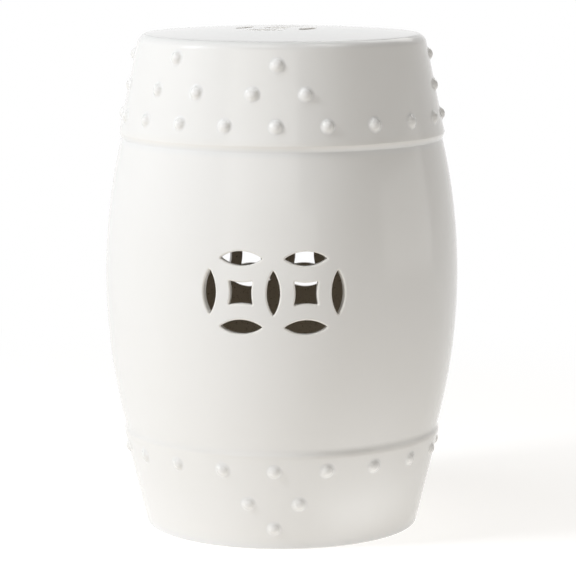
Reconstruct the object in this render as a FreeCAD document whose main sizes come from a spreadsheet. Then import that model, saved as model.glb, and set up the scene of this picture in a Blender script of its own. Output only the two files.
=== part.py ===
import FreeCAD, Part
import math
import os
import Sketcher

# Ceramic drum stool, hollow and open underneath, in millimetres.
# The origin is the centre of the ring that it stands on, and +Z is up.
# The pierced front looks along -Y, and angles are counted from there towards +X.
# A potter makes it as separate castings, luted together with slip in stepped joints
# and dressed with small round bosses before one glaze firing.

DRIVING_SIZES = (
    ("overall_height", 457.0, "floor to the crown of the seat"),
    ("seat_crown", 5.5, "rise of the domed seat above its rim plane"),
    ("rim_radius", 130.2, "corner of the seat before it is rounded"),
    ("rim_rounding", 9.5, "radius of the rounded rim"),
    ("seat_thickness", 9.0, "wall of the seat disc"),
    ("seat_joint_height", 441.0, "joint between seat and upper band"),
    ("seat_lip_depth", 6.0, "depth of the stepped joint under the seat"),
    ("seat_lip_wall", 7.0, "wall of the seat's lower lip"),
    ("lip_radius", 148.9, "widest edge of the upper band"),
    ("lip_height", 362.8, "height of that edge"),
    ("band_wall", 8.0, "wall of both bands, measured level"),
    ("joint_step", 4.0, "width of each stepped joint face"),
    ("joint_depth", 6.0, "height of each stepped joint"),
    ("neck_radius", 146.9, "barrel at the upper band"),
    ("neck_height", 357.5, "joint between barrel and upper band"),
    ("barrel_curve", 548.0, "radius of the barrel's bulge in side view"),
    ("barrel_wall", 7.5, "wall of the barrel"),
    ("waist_radius", 144.4, "barrel at the lower band"),
    ("waist_height", 92.5, "joint between barrel and lower band"),
    ("shoulder_radius", 145.9, "widest edge of the lower band"),
    ("shoulder_height", 87.5, "height of that edge"),
    ("base_radius", 125.0, "outside of the lower band on the floor"),
    ("base_rounding", 2.5, "radius of the bottom edge"),
    ("foot_inner_radius", 103.0, "opening in the foot ring"),
    ("foot_height", 13.0, "thickness of the foot ring"),
    ("foot_bevel", 4.0, "bevel on the foot ring's inner edge"),
    ("motif_height", 236.5, "centre of the front coins"),
    ("motif_turn", -2.6, "degrees that the front motif sits off centre"),
    ("coin_angle", 10.2, "degrees from a front coin's centre to its side lens"),
    ("coin_reach", 30.0, "front coin's centre to its upper and lower lens"),
    ("back_motif_height", 227.8, "centre of the back coins"),
    ("back_motif_turn", 181.35, "degrees to the middle of the back motif"),
    ("back_coin_angle", 9.55, "degrees from a back coin's centre to its side lens"),
    ("back_coin_reach", 26.1, "back coin's centre to its upper and lower lens"),
    ("level_lens_length", 37.4, "tip to tip of a lens that lies on its side"),
    ("level_lens_width", 12.6, "width of such a lens"),
    ("upright_lens_length", 39.5, "tip to tip of a lens that stands on its tip"),
    ("upright_lens_width", 11.6, "width of such a lens"),
    ("square_corner", 10.6, "half of the square opening at its corners"),
    ("square_hollow", 1.4, "how far each side of the square bows inward"),
    ("cut_length", 200.0, "reach of the cutter from the axis"),
    ("seat_motif_shift", -5.0, "sideways offset of the seat coin"),
    ("seat_motif_turn", -20.0, "degrees that the seat coin is turned"),
    ("seat_coin_reach", 30.4, "seat coin centre to its lenses"),
    ("boss_radius", 7.2, "radius of a boss where it meets the band"),
    ("boss_rise", 4.0, "height of a boss above the band"),
    ("upper_row_count", 20.0, "bosses in the upper row"),
    ("upper_row_height", 379.5, "height of the upper row"),
    ("upper_row_turn", -2.0, "degrees to the upper row's first boss"),
    ("lower_row_count", 19.0, "bosses in the lower row"),
    ("lower_row_height", 74.3, "height of the lower row"),
    ("lower_row_turn", -2.6, "degrees to the lower row's first boss"),
    ("pair_angle", 9.6, "degrees from a cluster's middle to each of its pair"),
    ("upper_pair_height", 407.0, "height of the pair in an upper cluster"),
    ("upper_tip_height", 433.5, "height of the single boss in an upper cluster"),
    ("lower_pair_height", 43.3, "height of the pair in a lower cluster"),
    ("lower_tip_height", 19.9, "height of the single boss in a lower cluster"),
)

# Each cluster has its own place round the band, in degrees from the front. Its single boss
# was pressed on by hand, a little to one side, in degrees, and a little high, in millimetres.
UPPER_CLUSTERS = (
    ("upper_cluster_front", -1.0, -0.7, -1.5),
    ("upper_cluster_front_left", 318.0, -1.8, 2.4),
    ("upper_cluster_left", 270.0, 0.0, 0.0),
    ("upper_cluster_back", 180.0, 0.0, 0.0),
    ("upper_cluster_back_right", 138.0, 0.0, 0.0),
    ("upper_cluster_right", 90.0, 0.0, 0.0),
)
LOWER_CLUSTERS = (
    ("lower_cluster_front", -3.0, 0.0, 0.0),
    ("lower_cluster_back", 177.0, 0.0, 0.0),
)

# The cones that shape the backs of the bosses reach this far past each band.
CONE_OVERRUN = 30.0

# A cut that takes less than this from a body, in cubic millimetres, has missed it.
LEAST_CUT = 1.0

# Steps that settle the centre of the rim rounding.
ROUNDING_STEPS = 40

# Numbers by which a sketch knows its level and upright axes, and an edge's ends and centre.
LEVEL_AXIS = -1
UPRIGHT_AXIS = -2
START = 1
END = 2
CENTRE = 3

doc = FreeCAD.newDocument("garden_stool")
sheet = doc.addObject("Spreadsheet::Sheet", "sizes")


class Size:
    """A length or angle together with the sheet expression that gives it."""

    def __init__(self, value, text):
        self.value = value
        self.text = text

    def _join(self, other, sign, value):
        other_text = other.text if isinstance(other, Size) else repr(float(other))
        return Size(value, "(" + self.text + " " + sign + " " + other_text + ")")

    def __add__(self, other):
        return self._join(other, "+", self.value + number(other))

    def __sub__(self, other):
        return self._join(other, "-", self.value - number(other))

    def __mul__(self, other):
        return self._join(other, "*", self.value * number(other))

    def __truediv__(self, other):
        return self._join(other, "/", self.value / number(other))


def number(size):
    """Plain value of a Size or of a number."""
    return size.value if isinstance(size, Size) else float(size)


def root(size):
    """Square root of a Size."""
    return Size(math.sqrt(size.value), "sqrt(" + size.text + ")")


def loose(value):
    """Starting value of a place that tangents or other constraints settle."""
    return Size(value, None)


def write_sheet():
    """Put the driving sizes in the sheet and return them by name."""
    sizes = {}
    for row, (name, value, meaning) in enumerate(DRIVING_SIZES + cluster_rows(), 1):
        sheet.set("A" + str(row), name)
        sheet.set("B" + str(row), str(value))
        sheet.set("C" + str(row), meaning)
        sheet.setAlias("B" + str(row), name)
        sizes[name] = Size(value, "sizes." + name)
    doc.recompute()
    return sizes


def cluster_rows():
    """Sheet rows for the place of every cluster."""
    rows = []
    for name, turn, tip_shift, tip_lift in UPPER_CLUSTERS + LOWER_CLUSTERS:
        rows.append((name + "_turn", turn, "degrees to this cluster"))
        rows.append((name + "_tip_shift", tip_shift, "degrees that its single boss sits to the right"))
        rows.append((name + "_tip_lift", tip_lift, "how much its single boss sits high"))
    return tuple(rows)


S = write_sheet()
ZERO = Size(0.0, "0.0")
RIM_HEIGHT = S["overall_height"] - S["seat_crown"]
UPPER_LEAN = (S["lip_radius"] - S["rim_radius"]) / (RIM_HEIGHT - S["lip_height"])
LOWER_LEAN = (S["shoulder_radius"] - S["base_radius"]) / S["shoulder_height"]


def upper_radius(height):
    """Outside of the upper band at a height."""
    return S["rim_radius"] + (RIM_HEIGHT - height) * UPPER_LEAN


def lower_radius(height):
    """Outside of the lower band at a height."""
    return S["base_radius"] + height * LOWER_LEAN


def new_body(name):
    """Empty body whose label names the piece."""
    body = doc.addObject("PartDesign::Body", name)
    body.Label = name
    body.Placement = FreeCAD.Placement()
    return body


def origin_plane(body, role):
    """One of the body's own origin planes."""
    return [item for item in body.Origin.OriginFeatures if item.Role == role][0]


def new_sketch(body, name, role):
    """Sketch on one of the body's origin planes."""
    sketch = body.newObject("Sketcher::SketchObject", name)
    sketch.AttachmentSupport = [(origin_plane(body, role), "")]
    sketch.MapMode = "FlatFace"
    return sketch


def arc_centre(start, end, radius, bulge):
    """Centre of a short arc; bulge 1 bows to the right of start to end, -1 to the left."""
    middle = (start + end) * 0.5
    chord = end - start
    height = math.sqrt(max(radius ** 2 - (chord.Length / 2) ** 2, 0.0))
    left = FreeCAD.Vector(-chord.y, chord.x, 0).normalize()
    return middle + left * height * bulge


def arc_edge(start, end, radius, bulge):
    """Arc geometry, and which of its ends is the start of the edge."""
    centre = arc_centre(start, end, radius, bulge)
    first, last = (start, end) if bulge > 0 else (end, start)
    begin = math.atan2(first.y - centre.y, first.x - centre.x)
    finish = math.atan2(last.y - centre.y, last.x - centre.x)
    circle = Part.Circle(centre, FreeCAD.Vector(0, 0, 1), radius)
    ends = (START, END) if bulge > 0 else (END, START)
    return Part.ArcOfCircle(circle, begin, finish), ends


def constrain(sketch, constraint, expression):
    """Add a constraint and bind it to the sheet."""
    index = sketch.addConstraint(constraint)
    sketch.setExpression("Constraints[" + str(index) + "]", expression)


def pin_point(sketch, geometry, end, x, y):
    """Fix one end of an edge where the sheet says, and leave a loose place free."""
    for kind, axis, place in (("DistanceX", UPRIGHT_AXIS, x), ("DistanceY", LEVEL_AXIS, y)):
        if place.text is None:
            continue
        if place.value == 0.0:
            sketch.addConstraint(Sketcher.Constraint("PointOnObject", geometry, end, axis))
        else:
            distance = Sketcher.Constraint(kind, LEVEL_AXIS, START, geometry, end, place.value)
            constrain(sketch, distance, place.text)


def draw_outline(sketch, corners, smooth=()):
    """Closed outline through corners (x, y, arc radius or None, bulge), each arc leaving its corner.

    The edges numbered in smooth run on into the next as tangents.
    """
    places = [FreeCAD.Vector(x.value, y.value, 0) for x, y, radius, bulge in corners]
    edges = []
    for index, (x, y, radius, bulge) in enumerate(corners):
        start = places[index]
        end = places[(index + 1) % len(places)]
        if radius is None:
            geometry = sketch.addGeometry(Part.LineSegment(start, end), False)
            ends = (START, END)
        else:
            arc, ends = arc_edge(start, end, radius.value, bulge)
            geometry = sketch.addGeometry(arc, False)
        edges.append((geometry, ends))
    for index, (geometry, ends) in enumerate(edges):
        after, after_ends = edges[(index + 1) % len(edges)]
        kind = "Tangent" if index in smooth else "Coincident"
        sketch.addConstraint(Sketcher.Constraint(kind, geometry, ends[1], after, after_ends[0]))
    for (x, y, radius, bulge), (geometry, ends) in zip(corners, edges):
        pin_point(sketch, geometry, ends[0], x, y)
        if radius is not None:
            constrain(sketch, Sketcher.Constraint("Radius", geometry, radius.value), radius.text)
    return edges


def revolve(body, sketch):
    """Turn a sketch of radius and height once round the stool's axis."""
    turn = body.newObject("PartDesign::Revolution", body.Name + "_turned")
    turn.Profile = sketch
    turn.ReferenceAxis = (sketch, ["V_Axis"])
    turn.Angle = 360.0
    body.Tip = turn
    doc.recompute()


def revolve_outline(body, corners):
    """Turn an outline of radius and height once round the stool's axis."""
    sketch = new_sketch(body, body.Name + "_profile", "XZ_Plane")
    draw_outline(sketch, corners)
    revolve(body, sketch)


def arc_radius(half_length, rise):
    """Radius of an arc with this half chord and rise."""
    return (half_length * half_length + rise * rise) / (rise * 2)


LEVEL_LENS_RADIUS = arc_radius(S["level_lens_length"] / 2, S["level_lens_width"] / 2)
UPRIGHT_LENS_RADIUS = arc_radius(S["upright_lens_length"] / 2, S["upright_lens_width"] / 2)
SQUARE_RADIUS = arc_radius(S["square_corner"], S["square_hollow"])


def draw_level_lens(sketch, x, y):
    """Lens opening that lies on its side."""
    half = S["level_lens_length"] / 2
    curve = LEVEL_LENS_RADIUS
    draw_outline(sketch, [(x - half, y, curve, 1), (x + half, y, curve, 1)])


def draw_upright_lens(sketch, x, y):
    """Lens opening that stands on its tip."""
    half = S["upright_lens_length"] / 2
    curve = UPRIGHT_LENS_RADIUS
    draw_outline(sketch, [(x, y - half, curve, 1), (x, y + half, curve, 1)])


def draw_square(sketch, x, y):
    """Square opening whose four sides bow inward."""
    half = S["square_corner"]
    corners = ((x - half, y - half), (x + half, y - half), (x + half, y + half), (x - half, y + half))
    draw_outline(sketch, [(across, up, SQUARE_RADIUS, -1) for across, up in corners])


def cut_outward(body, sketch, length, reverse):
    """Cut a sketch through the wall, and make sure that something was cut."""
    before = body.Shape.Volume
    pocket = body.newObject("PartDesign::Pocket", sketch.Name + "_cut")
    pocket.Profile = sketch
    pocket.Type = "Length"
    pocket.setExpression("Length", length.text)
    pocket.Reversed = reverse
    body.Tip = pocket
    doc.recompute()
    if not body.Shape.Volume < before - LEAST_CUT:
        raise RuntimeError(sketch.Name + " cuts nothing")


# Seat: a domed disc with a rounded rim and a lower lip that drops into the upper band.
# The rounding is tangent to the leaning side and to the dome.

SEAT_DOME = arc_radius(S["rim_radius"], S["seat_crown"])


def rim_rounding_ends():
    """Where the rim rounding leaves the leaning side, and where it meets the dome."""
    lean = math.atan(UPPER_LEAN.value)
    rounding = S["rim_rounding"].value
    dome_centre = S["overall_height"].value - SEAT_DOME.value
    # The rounding's centre is one rounding inside the side line and inside the dome.
    side_offset = S["rim_radius"].value - rounding / math.cos(lean)
    height = RIM_HEIGHT.value - rounding
    for _ in range(ROUNDING_STEPS):
        radius = side_offset + (RIM_HEIGHT.value - height) * UPPER_LEAN.value
        height = dome_centre + math.sqrt((SEAT_DOME.value - rounding) ** 2 - radius ** 2)
    side = (radius + rounding * math.cos(lean), height + rounding * math.sin(lean))
    reach = SEAT_DOME.value / (SEAT_DOME.value - rounding)
    top = (radius * reach, dome_centre + (height - dome_centre) * reach)
    return side, top


def make_seat():
    """Domed seat disc with one pierced coin."""
    joint = S["seat_joint_height"]
    lip_outer = upper_radius(joint) - S["joint_step"]
    lip_inner = lip_outer - S["seat_lip_wall"]
    lip_bottom = joint - S["seat_lip_depth"]
    side, top = rim_rounding_ends()
    corners = [
        (ZERO, S["overall_height"] - S["seat_thickness"], SEAT_DOME, -1),
        (lip_inner, RIM_HEIGHT - S["seat_thickness"], None, 0),
        (lip_inner, lip_bottom, None, 0),
        (lip_outer, lip_bottom, None, 0),
        (lip_outer, joint, None, 0),
        (upper_radius(joint), joint, None, 0),
        (loose(side[0]), loose(side[1]), S["rim_rounding"], 1),
        (loose(top[0]), loose(top[1]), SEAT_DOME, 1),
        (ZERO, S["overall_height"], None, 0),
    ]
    side_edge = 5
    rounding_edge = 6
    dome_edge = 7
    body = new_body("seat_disc")
    profile = new_sketch(body, "seat_disc_profile", "XZ_Plane")
    edges = draw_outline(profile, corners, smooth=(side_edge, rounding_edge))
    side_angle = math.pi / 2 + math.atan(UPPER_LEAN.value)
    constrain(
        profile, Sketcher.Constraint("Angle", edges[side_edge][0], side_angle),
        "90 + atan(" + UPPER_LEAN.text + ") / 1 deg",
    )
    on_axis = Sketcher.Constraint("PointOnObject", edges[dome_edge][0], CENTRE, UPRIGHT_AXIS)
    profile.addConstraint(on_axis)
    revolve(body, profile)
    pierce_seat(body)
    return body


def pierce_seat(body):
    """Cut one coin, a square with four lenses round it, down through the seat."""
    sketch = new_sketch(body, "seat_coin", "XY_Plane")
    sketch.AttachmentOffset = FreeCAD.Placement(
        FreeCAD.Vector(S["seat_motif_shift"].value, 0, 0),
        FreeCAD.Rotation(FreeCAD.Vector(0, 0, 1), S["seat_motif_turn"].value),
    )
    sketch.setExpression("AttachmentOffset.Base.x", S["seat_motif_shift"].text)
    sketch.setExpression("AttachmentOffset.Rotation.Angle", S["seat_motif_turn"].text)
    reach = S["seat_coin_reach"]
    draw_square(sketch, ZERO, ZERO)
    for side in (-1, 1):
        draw_level_lens(sketch, ZERO, reach * side)
        draw_upright_lens(sketch, reach * side, ZERO)
    cut_outward(body, sketch, S["overall_height"] + S["cut_length"], True)


def make_upper_band():
    """Leaning collar under the seat, whose lip stands out over the barrel."""
    joint = S["seat_joint_height"]
    seat_step = upper_radius(joint) - S["joint_step"]
    seat_ledge = joint - S["seat_lip_depth"]
    neck_step = S["neck_radius"] - S["joint_step"]
    neck_ledge = S["neck_height"] + S["joint_depth"]
    corners = [
        (S["neck_radius"], S["neck_height"]),
        (S["lip_radius"], S["lip_height"]),
        (upper_radius(joint), joint),
        (seat_step, joint),
        (seat_step, seat_ledge),
        (upper_radius(seat_ledge) - S["band_wall"], seat_ledge),
        (upper_radius(neck_ledge) - S["band_wall"], neck_ledge),
        (neck_step, neck_ledge),
        (neck_step, S["neck_height"]),
    ]
    body = new_body("upper_band")
    revolve_outline(body, [(x, y, None, 0) for x, y in corners])
    return body


def barrel_radius(height, inset):
    """Radius of the barrel's curve, moved in by inset, at a height."""
    start = FreeCAD.Vector(S["waist_radius"].value, S["waist_height"].value, 0)
    end = FreeCAD.Vector(S["neck_radius"].value, S["neck_height"].value, 0)
    centre = arc_centre(start, end, S["barrel_curve"].value, 1)
    curve = S["barrel_curve"].value - inset
    return centre.x + math.sqrt(curve ** 2 - (height - centre.y) ** 2)


def make_barrel():
    """Bulging wall with the two interlocked coins cut through its front and back."""
    wall = S["barrel_wall"]
    top = S["neck_height"] + S["joint_depth"]
    foot = S["waist_height"] + S["joint_depth"]
    neck_step = S["neck_radius"] - S["joint_step"]
    waist_step = S["waist_radius"] - S["joint_step"]
    corners = [
        (S["waist_radius"], S["waist_height"], S["barrel_curve"], 1),
        (S["neck_radius"], S["neck_height"], None, 0),
        (neck_step, S["neck_height"], None, 0),
        (neck_step, top, None, 0),
        (loose(barrel_radius(top.value, wall.value)), top, S["barrel_curve"] - wall, -1),
        (loose(barrel_radius(foot.value, wall.value)), foot, None, 0),
        (waist_step, foot, None, 0),
        (waist_step, S["waist_height"], None, 0),
    ]
    outer_edge = 0
    inner_edge = 4
    body = new_body("barrel")
    profile = new_sketch(body, "barrel_profile", "XZ_Plane")
    edges = draw_outline(profile, corners)
    outer = edges[outer_edge][0]
    inner = edges[inner_edge][0]
    profile.addConstraint(Sketcher.Constraint("Coincident", outer, CENTRE, inner, CENTRE))
    revolve(body, profile)
    pierce_barrel(body, "front", "")
    pierce_barrel(body, "back", "back_")
    return body


# The columns of openings in one motif, counted in steps from its shared middle lens.
COLUMNS = (-2, -1, 0, 1, 2)


def pierce_barrel(body, side, prefix):
    """Cut two coins that share their middle lens, one upright column of openings at a time."""
    height = S[prefix + "motif_height"]
    reach = S[prefix + "coin_reach"]
    for column in COLUMNS:
        name = side + "_column_" + str(column - COLUMNS[0] + 1)
        sketch = new_sketch(body, name, "XZ_Plane")
        angle = S[prefix + "motif_turn"] + S[prefix + "coin_angle"] * column
        sketch.AttachmentOffset = FreeCAD.Placement(
            FreeCAD.Vector(), FreeCAD.Rotation(FreeCAD.Vector(0, 1, 0), angle.value)
        )
        sketch.setExpression("AttachmentOffset.Rotation.Angle", angle.text)
        if column % 2 == 0:
            draw_upright_lens(sketch, ZERO, height)
        else:
            draw_square(sketch, ZERO, height)
            draw_level_lens(sketch, ZERO, height + reach)
            draw_level_lens(sketch, ZERO, height - reach)
        cut_outward(body, sketch, S["cut_length"], True)


def make_lower_band():
    """Tapering collar between the barrel and the floor."""
    waist_step = S["waist_radius"] - S["joint_step"]
    tongue = S["waist_height"] + S["joint_depth"]
    rounding = S["base_rounding"]
    # The bottom edge's arc leaves the floor and meets the leaning side as a tangent.
    slant = root(LOWER_LEAN * LOWER_LEAN + 1.0)
    reach = rounding * (slant - LOWER_LEAN)
    corners = [
        (S["base_radius"] - reach, ZERO, rounding, 1),
        (S["base_radius"] + reach * LOWER_LEAN / slant, reach / slant, None, 0),
        (S["shoulder_radius"], S["shoulder_height"], None, 0),
        (S["waist_radius"], S["waist_height"], None, 0),
        (waist_step, S["waist_height"], None, 0),
        (waist_step, tongue, None, 0),
        (waist_step - S["joint_step"], tongue, None, 0),
        (lower_radius(S["shoulder_height"]) - S["band_wall"], S["shoulder_height"], None, 0),
        (S["base_radius"] - S["band_wall"], ZERO, None, 0),
    ]
    body = new_body("lower_band")
    revolve_outline(body, corners)
    return body


def make_foot_ring():
    """Inward ring that the stool stands on, fitted to the inside of the lower band."""
    wall = S["band_wall"]
    top = S["foot_height"]
    inner = S["foot_inner_radius"]
    bevel = S["foot_bevel"]
    corners = [
        (inner, ZERO), (S["base_radius"] - wall, ZERO), (lower_radius(top) - wall, top),
        (inner + bevel, top), (inner, top - bevel),
    ]
    body = new_body("foot_ring")
    revolve_outline(body, [(x, y, None, 0) for x, y in corners])
    return body


def make_cone(name, low, high, radius_at):
    """Solid cone with the outer surface of a band, reaching past both of its ends."""
    cone = doc.addObject("Part::Cone", name)
    cone.setExpression("Radius1", radius_at(low).text)
    cone.setExpression("Radius2", radius_at(high).text)
    cone.setExpression("Height", (high - low).text)
    cone.setExpression("Placement.Base.z", low.text)
    return cone


def make_boss(name, height, radius_at, lean, cone):
    """One boss on the -X side: a ball's cap whose back is cut to the band's cone."""
    ball = arc_radius(S["boss_radius"], S["boss_rise"])
    sink = ball - S["boss_rise"]
    sphere = doc.addObject("Part::Sphere", name + "_ball")
    sphere.setExpression("Radius", ball.text)
    sphere.setExpression("Placement.Base.x", "-1 * " + (radius_at(height) - sink * math.cos(lean)).text)
    sphere.setExpression("Placement.Base.z", (height - sink * math.sin(lean)).text)
    cap = doc.addObject("Part::Cut", name)
    cap.Base = sphere
    cap.Tool = cone
    doc.recompute()
    if len(cap.Shape.Solids) != 1:
        raise RuntimeError(name + " is not one solid")
    return cap.Shape.Solids[0]


# The first boss of each kind is made on the -X side, at this angle from the front.
FIRST_BOSS_TURN = -90.0


def place_boss(boss, turn):
    """Copy of a boss, carried round from the -X side to its own angle."""
    copy = boss.copy()
    copy.rotate(FreeCAD.Vector(), FreeCAD.Vector(0, 0, 1), turn - FIRST_BOSS_TURN)
    return copy


def make_group(name, bosses):
    """Node that holds a group of separate bosses."""
    feature = doc.addObject("Part::Feature", name)
    feature.Label = name
    feature.Shape = Part.makeCompound(bosses)
    feature.Placement = FreeCAD.Placement()
    return feature


def make_row(band, boss):
    """Full row: even steps round the band."""
    first_turn = S[band + "_row_turn"].value
    count = int(S[band + "_row_count"].value)
    bosses = [place_boss(boss, first_turn + index * 360.0 / count) for index in range(count)]
    return make_group(band + "_boss_row", bosses)


def make_cluster(name, pair_boss, tip_boss):
    """Triangle of three bosses."""
    middle = S[name + "_turn"].value
    spread = S["pair_angle"].value
    bosses = [place_boss(pair_boss, middle + sign * spread) for sign in (-1, 1)]
    bosses.append(place_boss(tip_boss, middle + S[name + "_tip_shift"].value))
    return make_group(name, bosses)


def make_band_bosses(band, low, high, radius_at, lean, clusters):
    """Full row and clusters of one band."""
    cone = make_cone(band + "_face", low, high, radius_at)
    row = make_boss(band + "_row_boss", S[band + "_row_height"], radius_at, lean, cone)
    pair = make_boss(band + "_pair_boss", S[band + "_pair_height"], radius_at, lean, cone)
    made = [make_row(band, row)]
    for name, *_ in clusters:
        tip_height = S[band + "_tip_height"] + S[name + "_tip_lift"]
        tip = make_boss(name + "_tip_boss", tip_height, radius_at, lean, cone)
        made.append(make_cluster(name, pair, tip))
    return made


def check_document(pieces):
    """Stop if any object failed, or any piece is empty or broken."""
    doc.recompute()
    for item in doc.Objects:
        if "Invalid" in item.State or "Error" in item.State:
            raise RuntimeError(item.Name + " did not compute: " + str(item.State))
    for piece in pieces:
        if piece.Shape.isNull() or not piece.Shape.isValid():
            raise RuntimeError(piece.Label + " has no valid shape")


def export(pieces):
    """Write each piece to its own file, named after its label."""
    os.makedirs("parts", exist_ok=True)
    for piece in pieces:
        piece.Shape.exportStep("parts/" + piece.Label + ".step")
        box = piece.Shape.BoundBox
        volume = piece.Shape.Volume / 1000.0
        print(piece.Label, len(piece.Shape.Solids), "solids", round(volume, 1), "cm3",
              "top", round(box.ZMax, 2), "bottom", round(box.ZMin, 2), "wide", round(box.XLength, 1))


pieces = [make_seat(), make_upper_band(), make_barrel(), make_lower_band(), make_foot_ring()]
pieces += make_band_bosses(
    "upper", S["lip_height"] - CONE_OVERRUN, RIM_HEIGHT + CONE_OVERRUN,
    upper_radius, math.atan(UPPER_LEAN.value), UPPER_CLUSTERS,
)
pieces += make_band_bosses(
    "lower", ZERO - CONE_OVERRUN, S["shoulder_height"] + CONE_OVERRUN,
    lower_radius, -math.atan(LOWER_LEAN.value), LOWER_CLUSTERS,
)
check_document(pieces)
export(pieces)
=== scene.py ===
"""White glazed ceramic drum stool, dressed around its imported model.

Every casting and every pressed boss is built again as a glazed form: the creases hold a
fillet of glaze, the edges and the cut openings are softened, and the inside is bare clay.
Lengths are in millimetres until a shell becomes an object, and angles are in degrees from
the pierced front, towards +X.
"""

import logging
import math
import random
from collections.abc import Callable, Iterable, Sequence
from dataclasses import dataclass
from enum import Enum

import bpy
from mathutils import Matrix, Vector
from mathutils.geometry import delaunay_2d_cdt


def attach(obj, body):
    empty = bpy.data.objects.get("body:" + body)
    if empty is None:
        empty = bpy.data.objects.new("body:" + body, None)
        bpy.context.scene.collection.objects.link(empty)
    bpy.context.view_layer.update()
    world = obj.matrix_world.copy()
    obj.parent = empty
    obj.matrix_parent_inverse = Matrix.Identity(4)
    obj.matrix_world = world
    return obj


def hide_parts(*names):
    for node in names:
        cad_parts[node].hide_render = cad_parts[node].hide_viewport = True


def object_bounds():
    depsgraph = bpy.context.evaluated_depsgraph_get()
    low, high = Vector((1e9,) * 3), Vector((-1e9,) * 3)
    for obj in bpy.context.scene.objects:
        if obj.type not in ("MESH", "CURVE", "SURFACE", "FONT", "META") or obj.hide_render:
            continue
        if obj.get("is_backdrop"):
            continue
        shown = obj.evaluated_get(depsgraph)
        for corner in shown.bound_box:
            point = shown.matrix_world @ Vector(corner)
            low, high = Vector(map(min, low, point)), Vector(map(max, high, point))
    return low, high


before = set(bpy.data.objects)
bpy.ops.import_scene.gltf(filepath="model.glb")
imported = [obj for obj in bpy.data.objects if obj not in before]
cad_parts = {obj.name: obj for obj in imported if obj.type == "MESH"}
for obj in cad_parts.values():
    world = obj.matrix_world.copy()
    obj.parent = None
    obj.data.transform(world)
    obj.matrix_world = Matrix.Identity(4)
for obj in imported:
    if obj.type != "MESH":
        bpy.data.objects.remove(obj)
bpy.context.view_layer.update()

LOG = logging.getLogger("garden_stool")
BODY = "root"
MM = 0.001
SEGMENTS = 240
SEGMENT_ANGLE = 360.0 / SEGMENTS
EVEN_GLAZE = 0.5
DAYLIGHT = "#F3F8FF"
WARM_WHITE = "#FFFDFA"

# Sockets of a colour Mix node, which shares their names with its other data types.
MIX_SHARE = 0
MIX_FIRST = 6
MIX_SECOND = 7
MIX_RESULT = 2

Flat = tuple[float, float]
Point = tuple[float, float, float]


class Finish(Enum):
    """The two finishes of the fired stool, with the record's name for each."""

    GLAZE = "white_glaze"
    CLAY = "bare_clay"


class OpeningShape(Enum):
    """The cut-outs that make up a pierced coin."""

    LEVEL_LENS = "level lens"
    UPRIGHT_LENS = "upright lens"
    SQUARE = "hollow-sided square"


# Outlines


@dataclass(frozen=True)
class Station:
    """Corner of an outline, its rounding, and the curve of the leg that leaves it.

    A positive curve bows to the right of the way ahead, a negative one to the left.
    """

    across: float
    up: float
    rounding: float = 0.0
    curve: float = 0.0


@dataclass(frozen=True)
class Step:
    """Point of a walked outline, with the unit normal on its right-hand side."""

    across: float
    up: float
    normal_across: float
    normal_up: float


class Leg:
    """Straight or evenly curved stretch between two stations."""

    def __init__(self, start: Station, end: Station) -> None:
        """Work out the leg's length, and its centre where it is curved.

        Args:
            start: Where the leg begins; its curve is the leg's.
            end: Where the leg ends.
        """
        self.start = (start.across, start.up)
        self.curve = start.curve
        run = (end.across - start.across, end.up - start.up)
        chord = math.hypot(*run)
        self.direction = (run[0] / chord, run[1] / chord)
        self.length = chord
        if self.curve:
            radius = abs(self.curve)
            side = math.copysign(1.0, self.curve)
            rise = math.sqrt(max(radius ** 2 - (chord / 2) ** 2, 0.0))
            left = (-self.direction[1] * side, self.direction[0] * side)
            middle = (start.across + run[0] / 2, start.up + run[1] / 2)
            self.centre = (middle[0] + left[0] * rise, middle[1] + left[1] * rise)
            self.first = math.atan2(start.up - self.centre[1], start.across - self.centre[0])
            self.length = radius * 2 * math.asin(min(chord / (2 * radius), 1.0))

    def at(self, distance: float) -> tuple[Flat, Flat]:
        """Point and direction at a distance along the leg."""
        if not self.curve:
            across = self.start[0] + self.direction[0] * distance
            up = self.start[1] + self.direction[1] * distance
            return (across, up), self.direction
        side = math.copysign(1.0, self.curve)
        radius = abs(self.curve)
        angle = self.first + side * distance / radius
        point = (
            self.centre[0] + radius * math.cos(angle),
            self.centre[1] + radius * math.sin(angle),
        )
        return point, (-side * math.sin(angle), side * math.cos(angle))


@dataclass(frozen=True)
class Fillet:
    """Arc that rounds a corner, and how much of each leg it takes."""

    centre: Flat
    radius: float
    side: float
    first: float
    turn: float
    taken_before: float
    taken_after: float


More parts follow.
